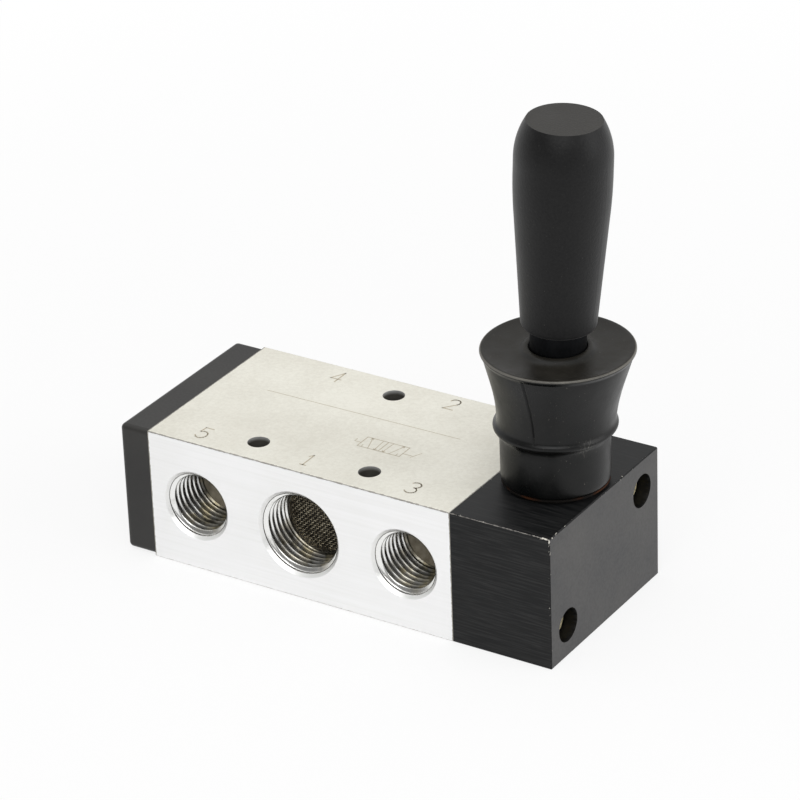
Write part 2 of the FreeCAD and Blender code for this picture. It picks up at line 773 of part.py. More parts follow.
def make_boot():
    body = new_body("boot")
    turn(body, outline(body, "XZ_Plane", boot_skirt()))
    loft(body, [cup_section(body, f"{step} / 4", "0") for step in range(5)])
    roof = "1 - boot_wall / boot_cup_height"
    hollow = [cup_section(body, f"{step} / 4 * ({roof})", "boot_wall") for step in range(5)]
    loft(body, hollow, cut=True)
    drift = (boot_drift("1"), "0", "0")
    lip = "sleeve_radius + boot_lip_width"
    rim = [
        ("0", RIM_Z),
        (RIM_RADIUS, RIM_Z),
        (RIM_RADIUS, f"{BOOT_TOP} - boot_rim_round", "boot_rim_round", -1),
        (f"{RIM_RADIUS} - boot_rim_round", BOOT_TOP),
        (lip, BOOT_TOP),
        (f"{lip} - boot_lip_rise", f"{BOOT_TOP} + boot_lip_rise"),
        ("0", f"{BOOT_TOP} + boot_lip_rise"),
    ]
    turn(body, outline(body, "XZ_Plane", rim, drift))
    low = f"{BOOT_TOP} - boot_dish_depth"
    dish = [
        (lip, BOOT_TOP),
        (f"{lip} + boot_dish_depth", low),
        (f"{RIM_RADIUS} - boot_dish_inset - boot_dish_depth", low),
        (f"{RIM_RADIUS} - boot_dish_inset", BOOT_TOP),
    ]
    turn(body, outline(body, "XZ_Plane", dish, drift), cut=True)
    neck = [("0", "0", "sleeve_radius + boot_neck_gap")]
    hole = circles(body, "XY_Plane", neck, drift[:2] + (f"{RIM_Z} - 2 * boot_wall",))
    extrude(body, hole, "4 * boot_wall", cut=True)
    body.setExpression("Placement.Base.x", bound(LEVER_X))


# The detent

def make_detent():
    """The bush in the housing, and the split ring that grips the spool's stem."""
    bush = new_body("detent_bush")
    stem = "spool_neck_radius + stem_clearance"
    floor = "spool_neck_radius + ring_groove_depth"
    mouth_end = f"{BODY_END} + bush_mouth_depth"
    left, right = f"{GROOVE_X} - {GROOVE_WIDTH} / 2", f"{GROOVE_X} + {GROOVE_WIDTH} / 2"
    half = [
        (BODY_END, BUSH_MOUTH_RADIUS),
        (mouth_end, BUSH_MOUTH_RADIUS),
        (mouth_end, stem),
        (left, stem),
        (left, floor),
        (right, floor),
        (right, stem),
        (BUSH_END, stem),
        (BUSH_END, BUSH_RADIUS),
        (BODY_END, BUSH_RADIUS),
    ]
    turn(bush, outline(bush, "XY_Plane", half, LEVEL), "H_Axis")
    detent = new_body("detent_ring")
    middle = "spool_neck_radius + ring_contact + ring_wire_radius"
    wire = circles(detent, "XY_Plane", [(RING_X, middle, "ring_wire_radius")], LEVEL)
    turn(detent, wire, "H_Axis", angle=360 - value("ring_gap_angle"))


# The spool

EXHAUST_SEAL = f"(2 * {PORT_PITCH} - inlet_seal_offset)"
END_SEAL = f"({BODY_END} - end_seal_inset)"
LANDS = [
    [f"-{END_SEAL}"],
    [f"-{EXHAUST_SEAL}"],
    ["-inlet_seal_offset", "inlet_seal_offset"],
    [EXHAUST_SEAL],
    [END_SEAL],
]


def land_outline(seals):
    """The spool's outer line over one land, with a groove for each of its seals."""
    land, floor = "bore_radius - spool_clearance", "seal_floor_radius"
    start = f"{seals[0]} - seal_width / 2 - seal_wall"
    corners = [(start, "spool_neck_radius"), (start, land)]
    for place in seals:
        left, right = f"{place} - seal_width / 2", f"{place} + seal_width / 2"
        corners += [(left, land), (left, floor), (right, floor), (right, land)]
    end = f"{seals[-1]} + seal_width / 2 + seal_wall"
    return corners + [(end, land), (end, "spool_neck_radius")]


def detent_notch(place):
    """A rounded notch in the stem, where the detent ring snaps in."""
    half = "sqrt(ring_wire_radius^2 - (ring_wire_radius - detent_depth)^2)"
    return [
        (f"{place} - {half}", "spool_neck_radius", "ring_wire_radius", -1),
        (f"{place} + {half}", "spool_neck_radius"),
    ]


def make_spool():
    body = new_body("spool")
    corners = [corner for seals in LANDS for corner in land_outline(seals)]
    corners[0] = (corners[0][0], "0")
    for sign in ("-", "+"):
        corners += detent_notch(f"{RING_X} {sign} {STEM_TRAVEL}")
    left, right = f"{LEVER_X} - head_length / 2", f"{LEVER_X} + head_length / 2"
    corners += [
        (left, "spool_neck_radius"),
        (left, "head_radius - head_edge"),
        (f"{left} + head_edge", "head_radius"),
        (f"{right} - head_edge", "head_radius"),
        (right, "head_radius - head_edge"),
        (right, "0"),
    ]
    turn(body, outline(body, "XY_Plane", corners), "H_Axis")
    seat = circles(body, "XY_Plane", [(LEVER_X, "0", "ball_radius + ball_clearance")])
    extrude(body, seat, "3 * head_radius", cut=True, both=True)
    slide_to_rest(body)


def slide_to_rest(body):
    """Moves a piece drawn at mid travel to where the leaning lever holds the spool."""
    body.setExpression("Placement.Base.x", bound(SPOOL_AT_REST))
    body.setExpression("Placement.Base.z", bound(AXIS))


def make_spool_seals():
    places = [place for seals in LANDS for place in seals]
    for number, place in enumerate(places, start=1):
        body = new_body(f"spool_seal_{number}")
        ends = f"{place} - seal_width / 2", f"{place} + seal_width / 2"
        half = ring("seal_floor_radius", "bore_radius - seal_clearance", *ends, "small_chamfer")
        turn(body, outline(body, "XY_Plane", half), "H_Axis")
        slide_to_rest(body)


make_valve_body()
make_inlet_screen()
make_end_cover()
make_face_seal("end_cover_seal", BODY_START, "-")
make_face_seal("housing_seal", BODY_END, "+")
make_lever_housing()
make_pivot_boss()
make_screws("end_cover_screws", "cover_screw_length", COVER_FACE, "cover_screw_sink", True)
make_screws("housing_screws", "housing_screw_length", HOUSING_FACE, "housing_screw_sink", False)
make_pivot()
make_lever_shaft()
make_lever_sleeve()
make_knob()
make_knob_insert()
make_boot_washer()
make_boot()
make_detent()
make_spool()
make_spool_seals()
doc.recompute()

for made in doc.Objects:
    if {"Invalid", "Error"} & set(made.State):
        raise RuntimeError(f"{made.Name} is {made.State}")
    if made.isDerivedFrom("Sketcher::SketchObject") and not made.FullyConstrained:
        raise RuntimeError(f"{made.Name} is not fully constrained")
for piece in PIECES:
    if piece.Shape.isNull() or not piece.Shape.isValid():
        raise RuntimeError(f"{piece.Label} has no valid shape")

os.makedirs("parts", exist_ok=True)
for piece in PIECES:
    piece.Shape.exportStep(f"parts/{piece.Label}.step")
    box = piece.Shape.BoundBox
    print(f"{piece.Label:20s} {len(piece.Shape.Solids)} solids {piece.Shape.Volume:10.2f} mm3"
          f" x {box.XMin:7.2f} {box.XMax:7.2f} y {box.YMin:7.2f} {box.YMax:7.2f}"
          f" z {box.ZMin:7.2f} {box.ZMax:7.2f}")
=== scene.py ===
import math

import bpy
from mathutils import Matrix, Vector


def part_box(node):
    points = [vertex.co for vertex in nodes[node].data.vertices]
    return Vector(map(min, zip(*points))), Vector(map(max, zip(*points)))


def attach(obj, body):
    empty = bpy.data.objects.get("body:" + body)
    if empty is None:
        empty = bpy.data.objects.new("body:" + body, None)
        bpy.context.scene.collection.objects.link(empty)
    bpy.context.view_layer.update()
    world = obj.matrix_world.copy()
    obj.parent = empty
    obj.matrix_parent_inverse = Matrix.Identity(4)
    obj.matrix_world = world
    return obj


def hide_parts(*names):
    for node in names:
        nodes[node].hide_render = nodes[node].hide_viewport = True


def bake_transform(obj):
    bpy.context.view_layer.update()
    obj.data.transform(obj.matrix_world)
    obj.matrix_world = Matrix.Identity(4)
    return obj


MM = 0.001
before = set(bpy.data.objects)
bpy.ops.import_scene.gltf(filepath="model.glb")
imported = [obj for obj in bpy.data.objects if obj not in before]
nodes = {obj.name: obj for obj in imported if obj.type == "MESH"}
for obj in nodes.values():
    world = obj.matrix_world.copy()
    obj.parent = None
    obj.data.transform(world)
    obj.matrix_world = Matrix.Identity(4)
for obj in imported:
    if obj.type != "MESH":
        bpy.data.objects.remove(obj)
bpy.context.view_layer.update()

# Sizes that the valve's solids share with the pieces added here, in millimetres
BODY_TOP = 27.0
FACE_Y = 20.0
AXIS_Z = 13.5
LEVER_X = 43.85
PIVOT_Z = 35.0
LEVER_SLOPE = math.tan(math.radians(2.7))
LARGE_PORT = 8.331
SMALL_PORT = 6.579
PORT_MOUTH = 0.6
PORT_DEPTH = 10.5
INLET_DEPTH = 7.6
SCREEN_RADIUS = 7.4

# Port threads; their start and end are shares of a pitch
THREAD_PITCH = 1.337
THREAD_HEIGHT = 0.856
THREAD_ROUNDING = 0.1373 * THREAD_PITCH
THREAD_FLANK = math.radians(62.5)
THREAD_START = 0.5
THREAD_END = 0.6
THREAD_CLEARANCE = 0.01

# Wire mesh of the strainer
WIRE_PITCH = 0.5
WIRE_RADIUS = 0.1
WIRE_CORNERS = 4
SCREEN_CLEARANCE = 0.05

# Boot: the heights between which it bends, its mould seam and its scuff. The seam's turn is in
# radians, and its slant in radians to the millimetre.
BEND_START = 38.5
BOOT_TOP = 54.0
SEAM_TURN = math.radians(-87.7)
SEAM_SLANT = 0.1 / 12.5
SEAM_RADIUS = 10.5
SEAM_FOOT = 40.0
SEAM_FADE = 0.8
SEAM_TOP = 53.3
SCUFF = (54.0, -5.5, 38.0)

# Marks on the top face
MARK_LIFT = 0.012
FINE_MARK = 0.16

# Camera, as fitted to the photograph: its place in millimetres, and its turn in degrees
CAMERA_PLACE = (374.15, -561.2, 381.4)
CAMERA_TURN = (62.61, 1.9, 31.95)
CAMERA_LENS = 182.7
SENSOR = 36.0

# What the lamps point at, in metres
LAMP_TARGET = (0.01, 0, 0.03)


def display(red, green, blue):
    """The linear colour that shows as these 0 to 255 values."""
    def linear(level):
        level /= 255
        return level / 12.92 if level <= 0.04045 else ((level + 0.055) / 1.055) ** 2.4

    return (linear(red), linear(green), linear(blue), 1.0)


# Materials

class Surface:
    """A material with its Principled shader, and short ways to add nodes to it. The colour and
    roughness it starts with are its plain values, and finer ones may be linked over them."""

    def __init__(self, name, colour, roughness, metallic=0.0, specular=0.5):
        self.material = bpy.data.materials.new(name)
        self.material.use_nodes = True
        self.tree = self.material.node_tree
        self.shader = self.tree.nodes["Principled BSDF"]
        self.set("Base Color", colour)
        self.set("Roughness", roughness)
        self.set("Metallic", metallic)
        self.set("Specular IOR Level", specular)
        places = self.add("ShaderNodeTexCoord").outputs
        self.place, self.normal = places["Object"], places["Normal"]

    def set(self, name, value):
        """Gives an input of the shader a value, or links a socket to it."""
        self.give(self.shader.inputs[name], value)

    def give(self, socket, value):
        """Gives a socket a value, or links another socket to it."""
        if isinstance(value, bpy.types.NodeSocket):
            self.tree.links.new(value, socket)
        else:
            socket.default_value = value

    def add(self, kind, inputs=None, **settings):
        """A new node with these inputs and settings."""
        made = self.tree.nodes.new(kind)
        for name, value in settings.items():
            setattr(made, name, value)
        for name, value in (inputs or {}).items():
            self.give(made.inputs[name], value)
        return made

    def math(self, operation, *values):
        made = self.add("ShaderNodeMath", dict(enumerate(values)), operation=operation)
        return made.outputs[0]

    def spread(self, value, low, high, start=0.0, end=1.0):
        """The value moved from low..high to start..end, and held there."""
        inputs = {
            "Value": value,
            "From Min": low,
            "From Max": high,
            "To Min": start,
            "To Max": end,
        }
        return self.add("ShaderNodeMapRange", inputs).outputs["Result"]

    def ramp(self, distance, low_mm, high_mm, start=0.0, end=1.0):
        """Spread for a distance, whose low and high are in millimetres."""
        return self.spread(distance, low_mm * MM, high_mm * MM, start, end)

    def noise(self, per_metre, detail=3.0, roughness=0.5, offset=0.0):
        """Noise with that many waves to the metre, or per axis if three numbers are given."""
        steps = per_metre if isinstance(per_metre, tuple) else (per_metre,) * 3
        inputs = {"Vector": self.place, "Scale": steps, "Location": (offset,) * 3}
        scaled = self.add("ShaderNodeMapping", inputs).outputs["Vector"]
        inputs = {"Vector": scaled, "Scale": 1.0, "Detail": detail, "Roughness": roughness}
        return self.add("ShaderNodeTexNoise", inputs).outputs["Fac"]

    def mix(self, share, first, second):
        """Colour first where share is 0, and second where it is 1."""
        made = self.add("ShaderNodeMix", {"Factor": share}, data_type="RGBA")
        colour_sockets = [socket for socket in made.inputs if socket.type == "RGBA"]
        self.give(colour_sockets[0], first)
        self.give(colour_sockets[1], second)
        return next(socket for socket in made.outputs if socket.type == "RGBA")

    def mix_values(self, share, first, second):
        """Number first where share is 0, and second where it is 1."""
        inputs = {"Factor": share, "A": first, "B": second}
        return self.add("ShaderNodeMix", inputs).outputs["Result"]

    def bump(self, height, depth_mm, strength):
        inputs = {"Height": height, "Distance": depth_mm * MM, "Strength": strength}
        self.set("Normal", self.add("ShaderNodeBump", inputs).outputs["Normal"])

    def axis(self, name):
        """The x, y or z of the place on the surface, in metres."""
        return self.add("ShaderNodeSeparateXYZ", {"Vector": self.place}).outputs[name]

    def port_depth(self):
        """How far a place lies behind the front or back face, in metres."""
        return self.math("SUBTRACT", FACE_Y * MM, self.math("ABSOLUTE", self.axis("Y")))

    def facing(self, name):
        """How squarely the surface faces along x, y or z, either way, from 0 to 1."""
        share = self.add("ShaderNodeSeparateXYZ", {"Vector": self.normal}).outputs[name]
        return self.spread(self.math("ABSOLUTE", share), 0.7, 0.95)

    def near(self, point, full, none):
        """1 within the first distance of a point in millimetres, falling to 0 at the second."""
        spot = {0: self.place, 1: Vector(point) * MM}
        gap = self.add("ShaderNodeVectorMath", spot, operation="DISTANCE").outputs["Value"]
        return self.ramp(gap, full, none, 1.0, 0.0)

    def distances(self, node):
        """How far a place on a box-shaped node is from its nearest face, and from its nearest
        edge, in metres."""
        low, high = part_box(node)
        gaps = []
        for name, start, end in zip("XYZ", low, high):
            place = self.axis(name)
            before = self.math("ABSOLUTE", self.math("SUBTRACT", place, start))
            after = self.math("ABSOLUTE", self.math("SUBTRACT", place, end))
            gaps.append(self.math("MINIMUM", before, after))
        nearer = self.math("MINIMUM", gaps[0], gaps[1])
        farther = self.math("MAXIMUM", gaps[0], gaps[1])
        edge = self.math("MAXIMUM", nearer, self.math("MINIMUM", farther, gaps[2]))
        return self.math("MINIMUM", nearer, gaps[2]), edge


def bare_aluminium():
    """Milled aluminium: faint streaks on the sides, a warm speckle on top, a thin darker line
    along its edges, and bores with painted shade inside, paler mouths and stained drilled ends."""
    surface = Surface("bare_aluminium", display(240, 240, 240), 0.4, metallic=0.75)
    streaks = surface.noise((30, 1800, 1800), detail=2)
    speckle = surface.noise(1500, roughness=0.7, offset=3.0)
    clouds = surface.noise(70, offset=7.0)
    top = surface.facing("Z")
    share = surface.spread(surface.math("ADD", streaks, clouds), 0.8, 1.3)
    sides = surface.mix(share, display(247, 247, 247), display(242, 242, 241))
    share = surface.spread(surface.math("ADD", speckle, clouds), 0.75, 1.25)
    speckled = surface.mix(share, display(238, 236, 225), display(224, 221, 209))
    tone = surface.mix(top, sides, speckled)

    # A thin darker line along every edge, broken by noise
    edge_line_noise = surface.noise(1400, offset=13.0)
    reach = surface.spread(edge_line_noise, 0.4, 0.6, 0.15 * MM, 0.23 * MM)
    depth, edge = surface.distances("valve_body")
    tone = surface.mix(surface.math("LESS_THAN", edge, reach), tone, display(150, 147, 139))
    tone = surface.mix(surface.ramp(depth, 0.05, 0.2), tone, display(238, 238, 236))
    # Painted shade inside the bores, deepening from 0.5 to 3 mm below the faces
    tone = surface.mix(surface.ramp(depth, 0.5, 3.0), tone, display(72, 70, 66))

    stains = surface.spread(surface.noise(500, detail=4, offset=21.0), 0.35, 0.7)
    drilled = surface.mix(stains, display(178, 168, 146), display(118, 108, 90))
    port_end = surface.ramp(surface.port_depth(), 8.8, 9.8)
    port_end = surface.math("MULTIPLY", port_end, surface.ramp(depth, 1.0, 2.0))
    tone = surface.mix(port_end, tone, drilled)

    # Painted shade in the mounting holes, setting in quicker just below the top and bottom faces
    level = surface.math("ABSOLUTE", surface.math("SUBTRACT", surface.axis("Z"), AXIS_Z * MM))
    hole_shade = surface.ramp(level, 10.5, 11.5)
    hole_shade = surface.math("MULTIPLY", hole_shade, surface.ramp(depth, 0.2, 0.9))
    tone = surface.mix(hole_shade, tone, display(120, 117, 110))
    surface.set("Base Color", tone)

    metallic = surface.spread(top, 0.0, 1.0, 0.75, 0.3)
    less = surface.spread(port_end, 0.0, 1.0, 1.0, 0.15)
    surface.set("Metallic", surface.math("MULTIPLY", metallic, less))
    lines = surface.mix_values(top, streaks, speckle)
    roughness = surface.spread(lines, 0.35, 0.65, 0.36, 0.44)
    surface.set("Roughness", surface.math("MULTIPLY_ADD", top, 0.14, roughness))
    surface.bump(lines, 0.003, 0.35)
    return surface.material


def thread_metal():
    """Cut thread: bright, with painted shade that deepens into the ports, lies on the flanks
    that face inwards and turns the lower walls brown, and stained brown at the ports' ends."""
    surface = Surface("thread_metal", display(222, 220, 214), 0.2, metallic=1.0)
    stains = surface.noise(420, detail=4, offset=2.0)
    depth = surface.port_depth()
    # Painted shade in brown on the lower walls, away from the mouth; at the ports' ends a brown
    # stain
    low = surface.ramp(surface.axis("Z"), AXIS_Z - 5, AXIS_Z - 1, 1.0, 0.0)
    low = surface.math("MULTIPLY", low, surface.ramp(depth, 1.0, 2.4, 0.3, 1.0))
    low = surface.math("MAXIMUM", low, surface.ramp(depth, 9.2, 9.9))
    # Painted shade that grows with depth into the port
    depth_shade = surface.ramp(depth, 1.0, 11.0, 0.0, 0.25)
    share = surface.math("ADD", depth_shade, surface.spread(stains, 0.4, 0.8, -0.25, 0.35))
    share = surface.spread(surface.math("MULTIPLY_ADD", low, 0.85, share), 0.0, 1.0)
    patches = surface.noise(300, detail=4, roughness=0.6, offset=31.0)
    patches = surface.spread(patches, 0.42, 0.58)
    brown = surface.mix(patches, display(154, 145, 120), display(87, 84, 75))
    tone = surface.mix(share, display(240, 240, 238), brown)

    # Painted shade on the thread flanks that face into the port
    along = surface.add("ShaderNodeSeparateXYZ", {"Vector": surface.normal}).outputs["Y"]
    outward = surface.math("MULTIPLY", along, surface.math("SIGN", surface.axis("Y")))
    tone = surface.mix(surface.spread(outward, -0.4, 0.5), display(92, 91, 86), tone)
    surface.set("Base Color", tone)
    roughness = surface.spread(stains, 0.3, 0.7, 0.14, 0.24)
    surface.set("Roughness", surface.math("MULTIPLY_ADD", low, 0.14, roughness))
    surface.bump(surface.noise((400, 9000, 400), detail=2), 0.006, 0.5)
    return surface.material


def anodised_cover():
    """Black anodised aluminium with a smooth satin face."""
    surface = Surface("cover_black", display(44, 43, 42), 0.42, specular=0.3)
    grain = surface.noise(1900)
    clouds = surface.noise(80, offset=4.0)
    share = surface.spread(clouds, 0.35, 0.7)
    surface.set("Base Color", surface.mix(share, display(41, 40, 39), display(48, 47, 45)))
    surface.set("Roughness", surface.spread(grain, 0.3, 0.7, 0.38, 0.46))
    surface.bump(grain, 0.006, 0.4)
    return surface.material


def anodised_housing():
    """Black anodised aluminium: brushed along its long faces, sawn fine and painted paler as if
    lit on its end, painted shade in its holes, rubbed along its upper front edge, chipped where
    it ends."""
    surface = Surface("housing_black", display(24, 24, 25), 0.4, specular=0.2)
    low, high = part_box("lever_housing")
    brushed = surface.noise((110, 3000, 3000), detail=4, roughness=0.65)
    fine = surface.noise(1800, offset=5.0)
    end = surface.facing("X")
    share = surface.spread(brushed, 0.45, 0.75)
    side_tone = surface.mix(share, display(13, 14, 15), display(45, 45, 45))
    share = surface.spread(surface.noise(60, detail=4, roughness=0.6, offset=8.0), 0.3, 0.7)
    # Painted light: the end face is paler, as if lit from that side
    painted_light_end_tone = surface.mix(share, display(62, 62, 63), display(76, 75, 74))
    depth, edge = surface.distances("lever_housing")
    tone = surface.mix(end, side_tone, painted_light_end_tone)
    # Painted shade in the holes, from 0.2 to 1.2 mm below the faces
    tone = surface.mix(surface.ramp(depth, 0.2, 1.2), tone, display(7, 7, 8))

    flecks = surface.noise(1500, roughness=0.6, offset=11.0)
    from_front = surface.math("ABSOLUTE", surface.math("SUBTRACT", surface.axis("Y"), low.y))
    from_top = surface.math("ABSOLUTE", surface.math("SUBTRACT", surface.axis("Z"), high.z))
    from_edge = surface.math("MAXIMUM", from_front, from_top)
    reach = surface.spread(flecks, 0.35, 0.65, 0.1 * MM, 0.18 * MM)
    worn = surface.math("LESS_THAN", from_edge, reach)
    tone = surface.mix(surface.math("MULTIPLY", worn, 0.6), tone, display(160, 156, 150))

    corner = Vector((high.x, low.y, high.z)) / MM
    knocked = surface.math("MULTIPLY", surface.near(corner, 0.5, 4.0), 0.16)
    reach = surface.spread(flecks, 0.45, 0.7, 0.1 * MM, 0.3 * MM)
    shown = surface.math("GREATER_THAN", surface.math("ADD", flecks, knocked), 0.68)
    chip = surface.math("MULTIPLY", surface.math("LESS_THAN", edge, reach), shown)
    surface.set("Base Color", surface.mix(chip, tone, display(214, 210, 200)))
    surface.set("Metallic", surface.math("MULTIPLY", chip, 0.6))
    lines = surface.mix_values(end, brushed, fine)
    surface.set("Roughness", surface.spread(lines, 0.3, 0.7, 0.36, 0.5))
    surface.bump(lines, 0.01, 0.6)
    return surface.material


def knob_plastic():
    """Matte black plastic with a fine grain, a paler dusty top and a few dust specks."""
    surface = Surface("knob_plastic", display(15, 15, 15), 0.46, specular=0.2)
    surface.set("Sheen Weight", 0.08)
    grain = surface.noise(2400, roughness=0.6)
    clouds = surface.noise(70, offset=4.0)
    dust = surface.noise(2600, detail=1, offset=9.0)
    fine_part = surface.math("MULTIPLY", grain, 0.6)
    spots = surface.math("ADD", surface.math("MULTIPLY", clouds, 0.4), fine_part)
    tone = surface.mix(surface.spread(spots, 0.38, 0.62), display(5, 5, 6), display(17, 17, 17))
    tone = surface.mix(surface.facing("Z"), tone, display(34, 32, 28))
    dusty = surface.mix(surface.spread(dust, 0.76, 0.82, 0.0, 0.4), tone, display(96, 95, 91))
    surface.set("Base Color", dusty)
    surface.set("Roughness", surface.spread(clouds, 0.3, 0.7, 0.4, 0.52))
    surface.bump(grain, 0.05, 0.7)
    return surface.material


def boot_rubber():
    """Moulded black rubber, a little shiny, with a dusty top, a painted highlight along its rim,
    faint specks and a scuff on the bead."""
    surface = Surface("boot_rubber", display(12, 12, 12), 0.3, specular=0.26)
    grain = surface.noise(1500, detail=4, roughness=0.6)
    uneven = surface.noise(140, detail=2, offset=15.0)
    clouds = surface.noise(120, detail=4, roughness=0.6, offset=2.0)
    top = surface.facing("Z")
    sides = surface.mix(surface.spread(clouds, 0.4, 0.7), display(6, 7, 7), display(16, 16, 15))
    share = surface.spread(clouds, 0.35, 0.65)
    dusty = surface.mix(share, display(27, 25, 21), display(38, 36, 31))
    tone = surface.mix(top, sides, dusty)
    specks = surface.noise(2300, detail=2, roughness=0.6, offset=6.0)
    specks = surface.spread(specks, 0.7, 0.77, 0.0, 0.5)
    tone = surface.mix(specks, tone, display(110, 106, 98))

    # The rim's painted highlight is a pale ring about the middle of the boot's top
    middle = (LEVER_X + boot_drift(BOOT_TOP), 0, BOOT_TOP + 0.4)
    within = surface.near(middle, 13.85, 14.0)
    rim = surface.math("SUBTRACT", surface.near(middle, 14.35, 14.5), within)
    rim = surface.math("MULTIPLY", rim, surface.ramp(surface.axis("Z"), 54.05, 54.2))
    rim = surface.math("MULTIPLY", rim, surface.spread(clouds, 0.3, 0.6, 0.35, 0.8))
    tone = surface.mix(rim, tone, display(122, 119, 112))

    scratches = surface.noise((2600, 2600, 700), roughness=0.7, offset=17.0)
    scratches = surface.spread(scratches, 0.5, 0.62)
    scuff = surface.math("MULTIPLY", surface.near(SCUFF, 0.4, 2.6), scratches)
    tone = surface.mix(surface.math("MULTIPLY", scuff, 0.6), tone, display(112, 110, 104))
    surface.set("Base Color", tone)
    roughness = surface.spread(clouds, 0.35, 0.65, 0.25, 0.42)
    surface.set("Roughness", surface.math("MULTIPLY_ADD", top, 0.16, roughness))
    height = surface.math("ADD", surface.math("MULTIPLY", grain, 0.12), uneven)
    surface.bump(height, 0.2, 0.6)
    return surface.material


def metal(name, colour, roughness):
    """A plain turned or ground metal, with faint stains and fine tool marks."""
    surface = Surface(name, display(*colour), roughness, metallic=1.0)
    marks = surface.noise(2200)
    stains = surface.noise(350, offset=5.0)
    duller = display(*(level * 0.8 for level in colour))
    share = surface.spread(stains, 0.4, 0.7)
    surface.set("Base Color", surface.mix(share, display(*colour), duller))
    surface.set("Roughness", surface.spread(marks, 0.3, 0.7, roughness - 0.06, roughness + 0.1))
    surface.bump(marks, 0.01, 0.5)
    return surface.material


def dull(name, colour, roughness):
    """A plain rubber, plastic or fibre, with a fine grain and slightly uneven colour."""
    surface = Surface(name, display(*colour), roughness, specular=0.4)
    grain = surface.noise(1800)
    lighter = display(*(min(level * 1.25 + 4, 255) for level in colour))
    share = surface.spread(grain, 0.4, 0.75)
    surface.set("Base Color", surface.mix(share, display(*colour), lighter))
    surface.set("Roughness", surface.spread(grain, 0.3, 0.7, roughness - 0.05, roughness + 0.05))
    surface.bump(grain, 0.02, 0.4)
    return surface.material


def marking_paint():
    """The etched marks on the body: a tan grey that lets the metal's grain through."""
    surface = Surface("marking", display(178, 166, 142), 0.6, metallic=0.3)
    grain = surface.noise(3000, detail=2)
    share = surface.spread(grain, 0.35, 0.7)
    surface.set("Base Color", surface.mix(share, display(180, 168, 143), display(206, 197, 178)))
    surface.bump(grain, 0.01, 0.4)
    return surface.material


def washer_fibre():
    """Pressed fibre, orange-brown where it isn't dark with oil."""
    surface = Surface("washer_fibre", display(40, 22, 9), 0.9, specular=0.15)
    stains = surface.noise(170, detail=2, offset=3.0)
    share = surface.spread(stains, 0.42, 0.56)
    surface.set("Base Color", surface.mix(share, display(15, 12, 10), display(52, 27, 10)))
    return surface.material


def mesh_wire():
    """Woven wire, clean and bright in places and dark with oil in others."""
    surface = Surface("mesh_wire", display(156, 147, 126), 0.28, metallic=1.0)
    dirt = surface.noise(1300, offset=5.0)
    share = surface.spread(dirt, 0.35, 0.65)
    surface.set("Base Color", surface.mix(share, display(196, 187, 164), display(98, 89, 74)))
    return surface.material


def dress_nodes():
    black_steel = metal("black_steel", (44, 43, 42), 0.45)
    zinc = metal("yellow_zinc", (250, 238, 196), 0.5)
    steel = metal("ground_steel", (176, 176, 172), 0.25)
    rubber = dull("seal_rubber", (24, 24, 24), 0.5)
    looks = {
        "valve_body": bare_aluminium(),
        "end_cover": anodised_cover(),
        "lever_housing": anodised_housing(),
        "pivot_boss": black_steel,
        "end_cover_screws": zinc,
        "housing_screws": zinc,
        "end_cover_seal": rubber,
        "housing_seal": rubber,
        "pivot_pin": steel,
        "pivot_bush": metal("bronze", (176, 140, 84), 0.4),
        "lever_shaft": steel,
        "lever_sleeve": metal("black_sleeve", (38, 39, 41), 0.5),
        "knob": knob_plastic(),
        "knob_insert": metal("brass", (204, 172, 96), 0.3),
        "boot_washer": washer_fibre(),
        "detent_bush": dull("bush_plastic", (222, 220, 208), 0.4),
        "detent_ring": steel,
        "spool": metal("spool_aluminium", (204, 204, 202), 0.2),
        # Painted shade: the disc behind the wire mesh is near black, standing in for the shade
        # behind it
        "inlet_screen": dull("screen_backing_painted_shade", (26, 24, 20), 0.7),
        "inlet_screen_ring": metal("screen_ring", (206, 202, 192), 0.3),
    }
    for name, node in nodes.items():
        look = rubber if name.startswith("spool_seal") else looks.get(name)
        if look is None:
            continue
        node.data.materials.clear()
        node.data.materials.append(look)


# Pieces

def new_piece(name, points, faces, material, body):
    """A smooth mesh piece from points in millimetres, riding on a body if one is named."""
    mesh = bpy.data.meshes.new(name)
    mesh.from_pydata([Vector(point) * MM for point in points], [], faces)
    mesh.materials.append(material)
    mesh.polygons.foreach_set("use_smooth", [True] * len(mesh.polygons))
    mesh.update()
    piece = bpy.data.objects.new(name, mesh)
    bpy.context.scene.collection.objects.link(piece)
    if body:
        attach(piece, body)
    return piece


def grid_faces(rows, columns, closed_rows=False, flip=False):
    """Quads over rows of points, each row a closed ring."""
    faces = []
    for row in range(rows if closed_rows else rows - 1):
        above = (row + 1) % rows
        for column in range(columns):
            beside = (column + 1) % columns
            quad = (
                row * columns + column,
                row * columns + beside,
                above * columns + beside,
                above * columns + column,
            )
            faces.append(quad[::-1] if flip else quad)
    return faces


def thread_height(phase):
    """Height above the root of a pipe thread with 55 degrees between its flanks, rounded at
    root and crest, at a share of its pitch from the root."""
    from_root = abs(phase - round(phase)) * THREAD_PITCH
    from_crest = THREAD_PITCH / 2 - from_root
    curved = THREAD_ROUNDING * math.sin(THREAD_FLANK)
    if from_root < curved:
        return THREAD_ROUNDING - math.sqrt(THREAD_ROUNDING**2 - from_root**2)
    if from_crest < curved:
        crest = math.sqrt(THREAD_ROUNDING**2 - from_crest**2)
        return THREAD_HEIGHT - THREAD_ROUNDING + crest
    straight = (from_root - curved) * math.tan(THREAD_FLANK)
    return THREAD_ROUNDING * (1 - math.cos(THREAD_FLANK)) + straight


